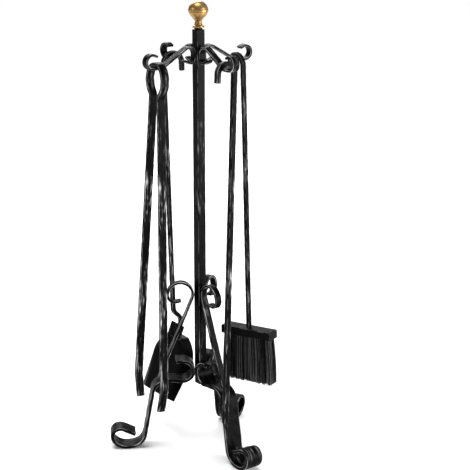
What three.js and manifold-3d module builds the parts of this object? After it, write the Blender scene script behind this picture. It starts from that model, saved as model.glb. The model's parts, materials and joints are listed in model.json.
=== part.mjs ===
// A wrought-iron fireplace tool set: a three-legged stand with a square post and a brass finial,
// and four tools that hang from its arms: tongs, a poker, a shovel and a hearth brush.
// Millimetres, +Z up. Angles about Z are in degrees from +X.
import * as THREE from 'three';
import { mergeVertices } from 'three/addons/utils/BufferGeometryUtils.js';
import Module from 'manifold-3d';

const wasm = await Module();
wasm.setup();

// ---------------------------------------------------------------- driving dimensions

const gap = 0.3; // left between two pieces that touch

// post and finial
const overallHeight = 715;
const finialHeight = 40;
const finialRadius = 15.5;
const finialFlangeRadius = 10;
const finialFlangeHeight = 3;
const finialNeckRadius = 5.5;
const finialNeckHeight = 9.5;
const collarRadius = 6.2;
const collarHeight = 2.6;
const studRadius = 3;
const studReach = 12; // into the finial above and into the post below
const threadClearance = 0.3;
const postSide = 14;
const postChamfer = 3;
const postFoot = 104; // height of the post's lower end

// arms: flat bars, bent over at the post and curled up at the end
const armWidth = 12;
const armThickness = 3.5;
const armPeak = 648; // top of the arch beside the post
const armArchRadius = 11;
const armSlope = 30.5;
const armSeatHeight = 621.3; // top face of the level stretch that the tools hang from
const armReach = 90.5; // from the post's face to the outside of the end curl
const armCurlRadius = 10.5;
const armCurlTurn = 205;
const armCurlTip = 4.5;
const armTailRadius = 7;
const armTailTurn = 114;
const armTailTip = 9;
const armBackLength = 6; // straight stretch against the post

// legs: wide flat bars with a scroll at the post and a scrolled foot
const legWidth = 30;
const legThickness = 5;
const legScrollRadius = 16.5;
const legScrollTop = 146; // top of the scroll beside the post
const legScrollTip = 11;
const legStrapRise = 5; // degrees by which the strap climbs away from the post
const legArchRadius = 24;
const legSplay = 10; // degrees by which the shank leans out
const legShankLength = 72;
const footRadius = 25;
const footFlat = 6;
const footRise = 55; // degrees turned before the foot's curl tightens
const footCurlRadius = 13;
const footCurlTurn = 150;
const footTip = 20;
const footReach = 118; // from the post's axis to the middle of the foot's flat
const legAngles = { leg_front: -90, leg_back: 30, leg_left: 150 };

// braces: narrow flat bars from each leg's shoulder up to the post
const braceWidth = 11;
const braceThickness = 4;
const braceFootInset = 51; // from the middle of the foot's flat in to the brace's foot
const braceFootReach = footReach - braceFootInset;
const braceCurlHeight = 253.5; // height of the curl's centre
const braceCurlRadius = 20;
const braceTipRadius = 11.5;
const braceTipTurn = 100;
const braceTip = 8;
const braceAngles = { brace_front: -90, brace_back: 30, brace_left: 150 };

// A tool hangs at its reach from the post's face and leans out, so that its lower end keeps its
// distance from the foot's flat.
const leanFor = (reach, footInset, length) => (
  (180 / Math.PI) * Math.atan2(footReach - footInset - postSide / 2 - reach, length)
);

// crooks: the bent tops of poker, shovel and brush
const crookDrop = 13; // straight stretch of the tip
const crookSeatClearance = 0.9; // between a crook's round inside and the arm's edges

// poker
const pokerBar = 8;
const pokerCrook = 30; // from the middle of the shaft to the middle of the tip
const pokerShaft = 545; // straight stretch below the crook
const pokerReach = 64.5;
const pokerFootInset = 27.47; // from the middle of the foot's flat in to the poker's lower end
const pokerLean = leanFor(pokerReach, pokerFootInset, pokerShaft);
const pokerHang = { reach: pokerReach, side: 1, yaw: 0, tilt: 3.3, lean: pokerLean };

// shovel
const shovelBar = 7;
const shovelCrook = 34;
const shovelShaft = 404;
const shovelReach = 64.5;
const shovelFootInset = 33.8; // as for the poker, to the lower end of the straight shaft
const shovelLean = leanFor(shovelReach, shovelFootInset, shovelShaft);
const shovelHang = { reach: shovelReach, side: 1, yaw: 0, tilt: 3, lean: shovelLean };
const shovelNeckRadius = 14;
const shovelNeckTurn = 42;
const shovelNeckLength = 10;
const panSlope = 24; // degrees between the shaft and the pan's floor
const panMouth = 92; // across the rim at the open end
const panShoulder = 108; // across the rim at its widest
const panLength = 104;
const panShoulderSlope = 38; // length over which the rim runs in from its widest to the tab
const panMouthDepth = 5;
const panBackDepth = 15;
const panFlare = 14; // by which the floor's edge stands in from the rim at either side
const panBackFlare = 7; // the same behind
const panWall = 1.6;
const panTabWidth = 36;
const panTabLength = 16;
const rivetRadius = 1.6;
const rivetHeadRadius = 3;
const rivetHeadHeight = 1.4;
const rivetHeights = { shovel_rivet_lower: panLength + 4.5, shovel_rivet_upper: panLength + 12 };

// brush
const brushBar = 7;
const brushCrook = 34;
const brushShaft = 429;
const brushReach = 64;
const brushFootInset = 43.26;
const brushLean = leanFor(brushReach, brushFootInset, brushShaft);
const brushHang = { reach: brushReach, side: -1, yaw: 0, tilt: -1.6, lean: brushLean };
const blockLength = 93;
const blockWidth = 24;
const blockHeight = 14;
const blockYaw = 20; // the block is set a little across the crook
const blockSocketDepth = 9;
const tuftColumns = 9;
const tuftRows = 2;
const tuftLength = 78;
const tuftPitch = 9.6;
const tuftFootPitch = 10.3;
const tuftSpace = 0.8; // between neighbouring tufts

// tongs: one flat bar bent into a spring bow with two long legs
const tongBarWidth = 13;
const tongBarThickness = 4.5;
const tongBowRadius = 25;
const tongNeckRadius = 12;
const tongNeckHalf = 13; // from the middle plane to the middle of the bar at the neck
const tongSplay = 4.1;
const tongLegLength = 446;
const tongTipBend = 18;
const tongTipRadius = 20;
const tongTipLength = 34;
const tongSeatClearance = 1.7; // room for the bow to rock on the arm
const tongLegs = { tongs_near_leg: 1, tongs_far_leg: -1 };
const tongInnerEdge = 60.5; // from the post's face to the near edge of the bow
const tongReach = tongInnerEdge + tongBarWidth / 2;
const tongFootInset = 26.87;
const tongLean = leanFor(tongReach, tongFootInset, tongLegLength);
const tongHang = { reach: tongReach, side: 1, yaw: -7, tilt: 0, lean: tongLean };

// ---------------------------------------------------------------- materials

const blackIron = { color: 0x15171a, roughness: 0.45, metalness: 0.6 };
const blackPaint = { color: 0x101112, roughness: 0.55, metalness: 0 };
const brass = { color: 0xc9a24b, roughness: 0.3, metalness: 1 };
const bristle = { color: 0x0c0c0c, roughness: 0.8, metalness: 0 };

// ---------------------------------------------------------------- helpers

const radians = THREE.MathUtils.degToRad;
const arcStep = 12; // degrees between two points of a round stretch

// Walks along straight and round steps and notes each point with its heading.
// A step is { line: length } or { turn: degrees, radius }, and a positive turn goes left.
function walk(start, heading, steps) {
  let [x, y] = start;
  let angle = radians(heading);
  const stations = [{ x, y, angle }];
  for (const step of steps) {
    if (step.line !== undefined) {
      x += step.line * Math.cos(angle);
      y += step.line * Math.sin(angle);
      stations.push({ x, y, angle });
      continue;
    }
    const side = Math.sign(step.turn);
    const centreX = x - side * step.radius * Math.sin(angle);
    const centreY = y + side * step.radius * Math.cos(angle);
    const count = Math.max(2, Math.ceil(Math.abs(step.turn) / arcStep));
    for (let i = 1; i <= count; i += 1) {
      const turned = angle + radians(step.turn) * (i / count);
      x = centreX + side * step.radius * Math.sin(turned);
      y = centreY - side * step.radius * Math.cos(turned);
      stations.push({ x, y, angle: turned });
    }
    angle += radians(step.turn);
  }
  return stations;
}

function lastOf(stations) {
  return stations[stations.length - 1];
}

// A bar bent in one plane: the walk runs in X and Z, and the bar's width lies along Y.
function bentBar(stations, thickness, width) {
  const half = thickness / 2;
  const beside = ({ x, y, angle }, reach) => (
    new THREE.Vector2(x - reach * Math.sin(angle), y + reach * Math.cos(angle))
  );
  const left = stations.map((s) => beside(s, half));
  const right = stations.map((s) => beside(s, -half));
  const shape = new THREE.Shape([...right, ...left.reverse()]);
  const geometry = new THREE.ExtrudeGeometry(shape, { depth: width, bevelEnabled: false });
  geometry.translate(0, 0, -width / 2);
  geometry.rotateX(Math.PI / 2);
  return geometry;
}

function box(width, depth, height, x, y, z) {
  const geometry = new THREE.BoxGeometry(width, depth, height);
  geometry.translate(x, y, z);
  return geometry;
}

// A round piece that stands on Z: its profile is a list of [radius, height].
function turned(profile, segments) {
  const points = profile.map(([radius, height]) => new THREE.Vector2(radius, height));
  const geometry = new THREE.LatheGeometry(points, segments);
  geometry.rotateX(Math.PI / 2);
  return geometry;
}

// The profile of a plain round plug on Z.
function plug(radius, foot, top) {
  return [[0, foot], [radius, foot], [radius, top], [0, top]];
}

function solid(geometry) {
  const plain = geometry.clone();
  plain.deleteAttribute('normal');
  plain.deleteAttribute('uv');
  const merged = mergeVertices(plain, 1e-4);
  const vertProperties = new Float32Array(merged.attributes.position.array);
  const triVerts = new Uint32Array(merged.index.array);
  return new wasm.Manifold(new wasm.Mesh({ numProp: 3, vertProperties, triVerts }));
}

function geometryOf(manifold) {
  const mesh = manifold.getMesh();
  const geometry = new THREE.BufferGeometry();
  geometry.setAttribute('position', new THREE.BufferAttribute(new Float32Array(mesh.vertProperties), 3));
  geometry.setIndex(new THREE.BufferAttribute(new Uint32Array(mesh.triVerts), 1));
  geometry.computeVertexNormals();
  return geometry;
}

function piece(name, geometry, finish, parent) {
  const mesh = new THREE.Mesh(geometry, new THREE.MeshStandardMaterial(finish));
  mesh.name = name;
  parent.add(mesh);
  return mesh;
}

// ---------------------------------------------------------------- post and finial

const finialFoot = overallHeight - finialHeight;
const postTop = finialFoot - gap - collarHeight - gap;

function postGeometry() {
  const corner = postSide / Math.SQRT2;
  const topCorner = (postSide - 2 * postChamfer) / Math.SQRT2;
  const bar = turned([
    [0, postFoot],
    [corner, postFoot],
    [corner, postTop - postChamfer],
    [topCorner, postTop],
    [0, postTop],
  ], 4);
  bar.rotateZ(Math.PI / 4);
  const boreRadius = studRadius + threadClearance;
  const boreDepth = studReach + gap;
  const bore = turned(plug(boreRadius, postTop - boreDepth, postTop + 1), 16);
  return geometryOf(solid(bar).subtract(solid(bore)));
}

function studGeometry() {
  const collarFoot = postTop + gap;
  const collarTop = collarFoot + collarHeight;
  return turned([
    [0, collarFoot - studReach],
    [studRadius, collarFoot - studReach],
    [studRadius, collarFoot],
    [collarRadius, collarFoot],
    [collarRadius, collarTop],
    [studRadius, collarTop],
    [studRadius, collarTop + studReach],
    [0, collarTop + studReach],
  ], 16);
}

// The ball is round above and runs down into the neck in a cone.
function finialGeometry() {
  const boreRadius = studRadius + threadClearance;
  const ballMiddle = finialHeight - finialRadius * 0.92;
  const profile = [
    [0, finialFoot + studReach + gap],
    [boreRadius, finialFoot + studReach + gap],
    [boreRadius, finialFoot],
    [finialFlangeRadius, finialFoot],
    [finialFlangeRadius, finialFoot + finialFlangeHeight],
    [(finialFlangeRadius + finialNeckRadius) / 2, finialFoot + finialFlangeHeight + 1.5],
    [finialNeckRadius, finialFoot + finialNeckHeight],
  ];
  for (let latitude = -50; latitude <= 90; latitude += 10) {
    const reach = latitude < 0 ? finialRadius : finialRadius * 0.92;
    const radius = latitude === 90 ? 0 : finialRadius * Math.cos(radians(latitude));
    profile.push([radius, finialFoot + ballMiddle + reach * Math.sin(radians(latitude))]);
  }
  return turned(profile, 24);
}

// ---------------------------------------------------------------- arms

const postFace = postSide / 2;
const armSeat = armSeatHeight - armThickness / 2; // height of the bar's middle at the level stretch
const armCurlMiddle = postSide / 2 + armReach - armThickness / 2 - armCurlRadius;
const armSeatBend = 8;

function armWalk() {
  const back = postFace + gap + armThickness / 2;
  const archTop = armPeak - armThickness / 2;
  const archFoot = archTop - armArchRadius;
  const slope = radians(armSlope);
  const archEnd = [
    back + armArchRadius + armArchRadius * Math.sin(slope),
    archFoot + armArchRadius * Math.cos(slope),
  ];
  const seatBendDrop = armSeatBend * (1 - Math.cos(slope));
  const slopeLength = (archEnd[1] - armSeat - seatBendDrop) / Math.sin(slope);
  const slopeEnd = archEnd[0] + slopeLength * Math.cos(slope);
  const level = armCurlMiddle - slopeEnd - armSeatBend * Math.sin(slope);
  // the tail is walked backwards, from the post's face down and out, to find where it starts
  const tail = walk([back, archFoot - armBackLength], -90, [
    { turn: armTailTurn, radius: armTailRadius },
    { line: armTailTip },
  ]);
  const tip = lastOf(tail);
  return walk([tip.x, tip.y], armTailTurn + 90, [
    { line: armTailTip },
    { turn: -armTailTurn, radius: armTailRadius },
    { line: armBackLength },
    { turn: -90 - armSlope, radius: armArchRadius },
    { line: slopeLength },
    { turn: armSlope, radius: armSeatBend },
    { line: level },
    { turn: armCurlTurn, radius: armCurlRadius },
    { line: armCurlTip },
  ]);
}

const armAngles = { arm_right: 0, arm_back: 90, arm_left: 180, arm_front: -90 };

// ---------------------------------------------------------------- legs and braces

// The post's reach towards a leg, from its axis: a face, or a corner where the leg stands across.
function postReach(angle) {
  const turn = Math.abs(radians(angle));
  return postFace * Math.max(Math.abs(Math.cos(turn)) + Math.abs(Math.sin(turn)), 1);
}

function legWalk(angle) {
  const back = postReach(angle) + gap + legThickness / 2;
  const scrollMiddle = back + legScrollRadius;
  const scrollTop = legScrollTop - legThickness / 2;
  const rise = radians(legStrapRise);
  const splay = radians(legSplay);
  // the foot's flat fixes the lower end, and the strap takes up what is left
  const footStart = footReach - footFlat / 2 - footRadius * Math.cos(splay);
  const shankTop = footStart - legShankLength * Math.sin(splay);
  const archStart = shankTop - legArchRadius * (Math.cos(splay) + Math.sin(rise));
  const strapStart = scrollMiddle + legScrollRadius * Math.sin(rise);
  const strap = (archStart - strapStart) / Math.cos(rise);
  return walk([scrollMiddle + legScrollTip, scrollTop], 180, [
    { line: legScrollTip },
    { turn: 180 + legStrapRise, radius: legScrollRadius },
    { line: strap },
    { turn: -(legStrapRise + 90 - legSplay), radius: legArchRadius },
    { line: legShankLength },
    { turn: 90 - legSplay, radius: footRadius },
    { line: footFlat },
    { turn: footRise, radius: footRadius },
    { turn: footCurlTurn, radius: footCurlRadius },
    { line: footTip },
  ]);
}

// Lifts a leg so that its foot stands on the floor.
function grounded(stations) {
  const lowest = Math.min(...stations.map((s) => s.y));
  return stations.map((s) => ({ ...s, y: s.y - lowest + legThickness / 2 }));
}

// Height of a leg's upper face at a distance from the post's axis, found on the strap and the arch.
function legTop(stations, reach) {
  const half = legThickness / 2;
  const upper = stations.map((s) => [s.x - half * Math.sin(s.angle), s.y + half * Math.cos(s.angle)]);
  for (let i = 1; i < upper.length; i += 1) {
    const [from, to] = [upper[i - 1], upper[i]];
    const facesUp = Math.cos(stations[i].angle) > 0;
    if (facesUp && from[0] <= reach && reach < to[0]) {
      return from[1] + ((reach - from[0]) / (to[0] - from[0])) * (to[1] - from[1]);
    }
  }
  return legScrollTop;
}

function braceWalk(angle, legStations) {
  const shoulder = legTop(legStations, braceFootReach);
  const curlMiddle = [postReach(angle) + gap + braceThickness / 2 + braceCurlRadius, braceCurlHeight];
  const foot = [braceFootReach, shoulder + gap + braceThickness / 2];
  const away = [curlMiddle[0] - foot[0], curlMiddle[1] - foot[1]];
  const distance = Math.hypot(away[0], away[1]);
  const swing = Math.asin(braceCurlRadius / distance);
  const heading = THREE.MathUtils.radToDeg(Math.atan2(away[1], away[0]) + swing);
  return walk(foot, heading, [
    { line: Math.sqrt(distance ** 2 - braceCurlRadius ** 2) },
    { turn: -(heading + 90), radius: braceCurlRadius },
    { turn: -braceTipTurn, radius: braceTipRadius },
    { line: braceTip },
  ]);
}

// ---------------------------------------------------------------- the stand

function makeStand() {
  const stand = new THREE.Group();
  piece('post', postGeometry(), blackIron, stand);
  piece('finial_stud', studGeometry(), blackIron, stand);
  piece('finial', finialGeometry(), brass, stand);
  for (const [name, angle] of Object.entries(armAngles)) {
    const arm = piece(name, bentBar(armWalk(), armThickness, armWidth), blackIron, stand);
    arm.rotation.z = radians(angle);
  }
  for (const [name, angle] of Object.entries(legAngles)) {
    const leg = piece(name, bentBar(grounded(legWalk(angle)), legThickness, legWidth), blackIron, stand);
    leg.rotation.z = radians(angle);
  }
  for (const [name, angle] of Object.entries(braceAngles)) {
    const stations = braceWalk(angle, grounded(legWalk(angle)));
    const brace = piece(name, bentBar(stations, braceThickness, braceWidth), blackIron, stand);
    brace.rotation.z = radians(angle);
  }
  return stand;
}

// ---------------------------------------------------------------- tools

// A tool hangs at the origin of its own group, with its plane across the arm that holds it.
// X of the group points to the side where a crook's shaft hangs, and lean tips the foot outwards.
function hangingGroup(armAngle, hang, height) {
  const group = new THREE.Group();
  const turn = radians(armAngle);
  const reach = postSide / 2 + hang.reach;
  group.position.set(reach * Math.cos(turn), reach * Math.sin(turn), height);
  group.rotation.order = 'ZYX';
  group.rotation.set(
    -hang.side * radians(hang.lean),
    radians(hang.tilt),
    radians(armAngle + 90 * hang.side + hang.yaw),
  );
  return group;
}

// Height of a round crown's underside, so that its inside just clears the arm's two edges.
function crownHeight(insideRadius, clearance) {
  const halfArm = armWidth / 2 + clearance;
  return armSeatHeight + clearance + insideRadius - Math.sqrt(insideRadius ** 2 - halfArm ** 2);
}

// A crook and the shaft below it, from the tip over the crown; the crown's underside is at height 0.
function crookWalk(bar, crook, shaftSteps) {
  const radius = crook / 2;
  const start = [-radius, bar / 2 - radius - crookDrop];
  return walk(start, 90, [{ line: crookDrop }, { turn: -180, radius }, ...shaftSteps]);
}

function crookGroup(armAngle, hang, bar, crook) {
  const inside = crook / 2 - bar / 2;
  return hangingGroup(armAngle, hang, crownHeight(inside, crookSeatClearance));
}

function makePoker() {
  const group = crookGroup(armAngles.arm_front, pokerHang, pokerBar, pokerCrook);
  const stations = crookWalk(pokerBar, pokerCrook, [{ line: pokerShaft }]);
  piece('poker', bentBar(stations, pokerBar, pokerBar), blackIron, group);
  return group;
}

// Half of an outline of the pan, from the mouth to the middle of its back, in plain [across, up] pairs.
function panHalf(mouth, shoulder, neck, front, side, back) {
  const curve = new THREE.QuadraticBezierCurve(
    new THREE.Vector2(shoulder, side),
    new THREE.Vector2(shoulder * 0.96, side + (back - side) * 0.6),
    new THREE.Vector2(neck, back),
  );
  return [[mouth, front], ...curve.getPoints(6).map((point) => [point.x, point.y])];
}

// A pan-shaped block: its floor lies in the plane X = -rise, and its rim leans away towards -X.
function panBlock(inset, rise, beyond) {
  const side = panLength - panShoulderSlope;
  const neck = panTabWidth / 2;
  const front = -beyond;
  const floor = panHalf(
    panMouth / 2 - panFlare - inset,
    panShoulder / 2 - panFlare - inset,
    neck - inset,
    front,
    side - panBackFlare,
    panLength - panBackFlare - inset,
  );
  const rim = panHalf(
    panMouth / 2 - inset,
    panShoulder / 2 - inset,
    neck + panWall - inset,
    front,
    side,
    panLength - inset,
  );
  const depthAt = (up) => panMouthDepth + ((panBackDepth - panMouthDepth) * up) / panLength;
  const both = (half) => [...half, ...half.map(([across, up]) => [-across, up]).reverse()];
  const lower = both(floor).map(([across, up]) => new THREE.Vector3(-rise, across, up));
  const upper = both(rim).map(([across, up]) => new THREE.Vector3(-depthAt(up), across, up));
  return loft(lower, upper, beyond);
}

// Joins two outlines of as many points; the second is carried on past its own plane by a share of the way.
function loft(lower, upper, share) {
  const count = lower.length;
  const top = upper.map((point, i) => point.clone().add(point.clone().sub(lower[i]).multiplyScalar(share)));
  const positions = [...lower, ...top].flatMap((point) => point.toArray());
  const index = [];
  for (let i = 0; i < count; i += 1) {
    const next = (i + 1) % count;
    index.push(i, count + i, next, next, count + i, count + next);
  }
  for (let i = 1; i < count - 1; i += 1) {
    index.push(0, i, i + 1, count, count + i + 1, count + i);
  }
  const geometry = new THREE.BufferGeometry();
  geometry.setAttribute('position', new THREE.Float32BufferAttribute(positions, 3));
  geometry.setIndex(index);
  return geometry;
}

// A rivet along X: a shank with a domed head at both ends, and the bore that it goes through.
function rivetGeometry(backFace, frontFace) {
  const grip = backFace - frontFace + 2 * gap;
  const head = (foot, rise) => [
    [rivetHeadRadius, foot],
    [rivetHeadRadius * 0.8, foot + rise * 0.7],
    [0, foot + rise],
  ];
  const geometry = turned([
    ...head(0, -rivetHeadHeight).reverse(),
    [rivetRadius, 0],
    [rivetRadius, grip],
    ...head(grip, rivetHeadHeight),
  ], 12);
  geometry.rotateY(Math.PI / 2);
  geometry.translate(frontFace - gap, 0, 0);
  return geometry;
}

function boreGeometry(backFace, frontFace) {
  const radius = rivetRadius + gap;
  const geometry = turned(plug(radius, -1, backFace - frontFace + 1), 12);
  geometry.rotateY(Math.PI / 2);
  geometry.translate(frontFace, 0, 0);
  return geometry;
}

// A shallow pan of bent sheet: a floor with walls flared out on both sides and behind, open at the
// mouth, and a tab above it that the shaft is riveted to.
function panSolid() {
  const block = solid(panBlock(0, 0, 0));
  const hollow = solid(panBlock(panWall, panWall, 1));
  const tabHeight = panTabLength + panBackFlare + panWall;
  const tabMiddle = panLength + panTabLength - tabHeight / 2;
  const tab = box(panWall, panTabWidth, tabHeight, -panWall / 2, 0, tabMiddle);
  return block.subtract(hollow).add(solid(tab));
}

function makeShovel() {
  const group = crookGroup(armAngles.arm_back, shovelHang, shovelBar, shovelCrook);
  const stations = crookWalk(shovelBar, shovelCrook, [
    { line: shovelShaft },
    { turn: -shovelNeckTurn, radius: shovelNeckRadius },
    { line: shovelNeckLength },
    { turn: shovelNeckTurn + panSlope, radius: shovelNeckRadius },
    { line: panTabLength },
  ]);
  const tangEnd = lastOf(stations);

  // the pan's own frame: its floor's back face at X = 0, and the tang in front of the tab
  const tangMiddle = -panWall - gap - shovelBar / 2;
  const tangFront = tangMiddle - shovelBar / 2;
  const panGroup = new THREE.Group();
  panGroup.rotation.y = -radians(panSlope);
  const seat = new THREE.Vector3(tangMiddle, 0, panLength + gap).applyEuler(panGroup.rotation);
  panGroup.position.set(tangEnd.x - seat.x, 0, tangEnd.y - seat.z);
  panGroup.updateMatrix();
  group.add(panGroup);

  let shaft = solid(bentBar(stations, shovelBar, shovelBar));
  let pan = panSolid();
  for (const [name, height] of Object.entries(rivetHeights)) {
    const bore = boreGeometry(0, tangFront).translate(0, 0, height);
    pan = pan.subtract(solid(bore));
    shaft = shaft.subtract(solid(bore.clone().applyMatrix4(panGroup.matrix)));
    const rivet = piece(name, rivetGeometry(0, tangFront), blackIron, panGroup);
    rivet.position.z = height;
  }
  piece('shovel_pan', geometryOf(pan), blackIron, panGroup);
  piece('shovel_shaft', geometryOf(shaft), blackIron, group);
  return group;
}

// One bundle of bristles: narrow at the block and a little wider and further out at the foot.
function tuftGeometry(column, row) {
  const along = column - (tuftColumns - 1) / 2;
  const across = row - (tuftRows - 1) / 2;
  const geometry = new THREE.BoxGeometry(1, 1, 1);
  const corners = geometry.attributes.position;
  for (let i = 0; i < corners.count; i += 1) {
    const low = corners.getZ(i) < 0;
    const pitch = low ? tuftFootPitch : tuftPitch;
    const size = pitch - tuftSpace;
    corners.setX(i, along * pitch + corners.getX(i) * size);
    corners.setY(i, across * pitch + corners.getY(i) * size);
    corners.setZ(i, low ? -tuftLength : 0);
  }
  return geometry;
}

function makeBrush() {
  const group = crookGroup(armAngles.arm_right, brushHang, brushBar, brushCrook);
  const stations = crookWalk(brushBar, brushCrook, [{ line: brushShaft }]);
  piece('brush_shaft', bentBar(stations, brushBar, brushBar), blackIron, group);
  const shaftEnd = lastOf(stations);

  // the block's own frame: the middle of its underside at the origin
  const head = new THREE.Group();
  head.position.set(shaftEnd.x, 0, shaftEnd.y - gap - (blockHeight - blockSocketDepth));
  head.rotation.z = radians(blockYaw);
  group.add(head);
  const socketSide = brushBar + 2 * gap;
  const socketHeight = 2 * blockSocketDepth; // half of it stands above the block
  const socket = box(socketSide, socketSide, socketHeight, 0, 0, blockHeight);
  socket.rotateZ(-radians(blockYaw));
  const block = box(blockLength, blockWidth, blockHeight, 0, 0, blockHeight / 2);
  piece('brush_block', geometryOf(solid(block).subtract(solid(socket))), blackPaint, head);
  for (let row = 0; row < tuftRows; row += 1) {
    for (let column = 0; column < tuftColumns; column += 1) {
      const tuft = piece(`bristle_tuft_${row + 1}_${column + 1}`, tuftGeometry(column, row), bristle, head);
      tuft.position.z = -gap;
    }
  }
  return group;
}

// The bow's round part ends where its sides turn back into the neck.
const tongBowTurn = 180 - THREE.MathUtils.radToDeg(Math.asin(
  (tongNeckHalf + tongNeckRadius * Math.cos(radians(tongSplay))) / (tongBowRadius + tongNeckRadius),
));
const tongLegHeading = -90 + tongSplay;
const tongNeckTurn = tongBowTurn + tongLegHeading;

function makeTongs() {
  const inside = tongBowRadius - tongBarThickness / 2;
  const group = hangingGroup(armAngles.arm_left, tongHang, crownHeight(inside, tongSeatClearance));
  const crown = [0, tongBarThickness / 2];
  const neck = lastOf(walk(crown, 0, [
    { turn: -tongBowTurn, radius: tongBowRadius },
    { turn: tongNeckTurn, radius: tongNeckRadius },
  ]));
  const bow = walk([-neck.x, neck.y], -tongLegHeading, [
    { turn: tongNeckTurn, radius: tongNeckRadius },
    { turn: -2 * tongBowTurn, radius: tongBowRadius },
    { turn: tongNeckTurn, radius: tongNeckRadius },
  ]);
  piece('tongs_bow', bentBar(bow, tongBarThickness, tongBarWidth), blackIron, group);
  for (const [name, side] of Object.entries(tongLegs)) {
    const heading = -90 + side * tongSplay;
    const past = [gap * Math.cos(radians(tongLegHeading)), gap * Math.sin(radians(tongLegHeading))];
    const start = [side * (neck.x + past[0]), neck.y + past[1]];
    const stations = walk(start, heading, [
      { line: tongLegLength },
      { turn: -side * tongTipBend, radius: tongTipRadius },
      { line: tongTipLength },
    ]);
    piece(name, bentBar(stations, tongBarThickness, tongBarWidth), blackIron, group);
  }
  return group;
}

// ---------------------------------------------------------------- assembly

const assembly = new THREE.Group();
assembly.add(makeStand());
assembly.add(makePoker());
assembly.add(makeShovel());
assembly.add(makeBrush());
assembly.add(makeTongs());

// the origin is the middle of the ground that the whole set covers
const extent = new THREE.Box3().setFromObject(assembly, true);
const middle = extent.getCenter(new THREE.Vector3());
assembly.position.set(-middle.x, -middle.y, 0);
assembly.updateMatrixWorld(true);

export default assembly;
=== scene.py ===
# %% [markdown]
# A wrought-iron fireplace set, finished for the camera. The plain working model comes first: it fixes where
# every bar, scroll and tuft is. The cells below lay forged surfaces, brass and bristle over it, and each
# new piece takes its place and its size from that model, so nothing is fitted by eye.

# %% Load the plain model
import json
import math
import random

import bmesh
import bpy
import numpy as np
from mathutils import Matrix, Vector


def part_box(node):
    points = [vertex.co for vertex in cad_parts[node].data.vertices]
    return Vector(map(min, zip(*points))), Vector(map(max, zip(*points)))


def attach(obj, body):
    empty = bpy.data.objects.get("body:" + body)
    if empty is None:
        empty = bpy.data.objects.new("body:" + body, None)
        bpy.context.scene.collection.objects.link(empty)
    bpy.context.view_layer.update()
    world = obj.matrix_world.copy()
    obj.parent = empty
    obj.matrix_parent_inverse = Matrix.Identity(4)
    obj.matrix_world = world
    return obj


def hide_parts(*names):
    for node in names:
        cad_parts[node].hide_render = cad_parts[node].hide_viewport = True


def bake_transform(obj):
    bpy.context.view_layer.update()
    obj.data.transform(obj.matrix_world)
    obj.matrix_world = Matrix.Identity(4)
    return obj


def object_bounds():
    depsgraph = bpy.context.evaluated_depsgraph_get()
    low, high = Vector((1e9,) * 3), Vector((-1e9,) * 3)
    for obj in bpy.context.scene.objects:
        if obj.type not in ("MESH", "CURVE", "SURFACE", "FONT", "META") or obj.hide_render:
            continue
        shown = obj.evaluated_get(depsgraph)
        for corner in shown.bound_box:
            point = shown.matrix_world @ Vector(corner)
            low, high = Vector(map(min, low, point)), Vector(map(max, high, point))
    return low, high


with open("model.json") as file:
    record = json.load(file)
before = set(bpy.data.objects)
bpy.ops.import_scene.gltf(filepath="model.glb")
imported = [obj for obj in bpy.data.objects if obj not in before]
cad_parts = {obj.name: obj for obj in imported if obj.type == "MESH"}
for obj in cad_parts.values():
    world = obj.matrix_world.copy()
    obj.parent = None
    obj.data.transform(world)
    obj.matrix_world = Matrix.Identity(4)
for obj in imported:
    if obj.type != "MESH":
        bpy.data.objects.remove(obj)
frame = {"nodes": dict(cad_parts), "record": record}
plain_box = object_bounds()
nodes = frame["nodes"]
bodies = frame["record"]["behaviour"]["bodies"]
body_of = {node: body for body, members in bodies.items() for node in members}
mm = 0.001
print("plain model:", len(nodes), "nodes, box", [round(x, 4) for corner in plain_box for x in corner])

# %% [markdown]
# The camera stands a good two metres off and looks a little down on the set, as somebody who sits by the
# hearth would. A long lens keeps the post nearly upright. Its place is given from the post: how far round it
# stands, how far off, how high, and how far it steps aside so that the wider tools stay in view.

# %% Camera
post_low, post_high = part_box("post")
post_x, post_y = (post_low.x + post_high.x) / 2, (post_low.y + post_high.y) / 2

camera_turn = math.radians(36.18)
camera_distance = 2.2222
camera_height = 0.97726
camera_step_aside = 0.05518
camera_dip = math.radians(15.76)
camera_lens = 113.05  # on a sensor 36 mm wide

forward = Vector((math.sin(camera_turn), math.cos(camera_turn), 0))
rightward = Vector((math.cos(camera_turn), -math.sin(camera_turn), 0))
camera_place = Vector((post_x, post_y, camera_height)) - forward * camera_distance
camera_place += rightward * camera_step_aside

camera_data = bpy.data.cameras.new("camera")
camera_data.lens = camera_lens
camera_data.sensor_width = 36
camera = bpy.data.objects.new("camera", camera_data)
camera.location = camera_place
camera.rotation_euler = (math.pi / 2 - camera_dip, 0, -camera_turn)
bpy.context.scene.collection.objects.link(camera)
bpy.context.scene.camera = camera
print("camera at", [round(x, 3) for x in camera_place])

# %% [markdown]
# Black iron shows its shape only by what it reflects, so the studio is a dim grey room with a white floor
# and large soft lamps. The strongest panel stands to the right: it puts the sheen on every face that looks
# that way, while the faces to the left stay black. A panel behind and above lights what looks up, such as
# the feet. One broad overhead light, which doesn't weaken with distance, keeps the whole floor white.

# %% Studio
scene = bpy.context.scene
scene.view_settings.view_transform = "Standard"


def soft_panel(name, place, width, height, watts):
    """A rectangular lamp that looks from a point towards the middle of the set."""
    data = bpy.data.lights.new(name, "AREA")
    data.shape = "RECTANGLE"
    data.size, data.size_y = width, height
    data.energy = watts
    lamp = bpy.data.objects.new(name, data)
    lamp.location = place
    lamp.rotation_euler = (middle - place).to_track_quat("-Z", "Y").to_euler()
    scene.collection.objects.link(lamp)


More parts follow.
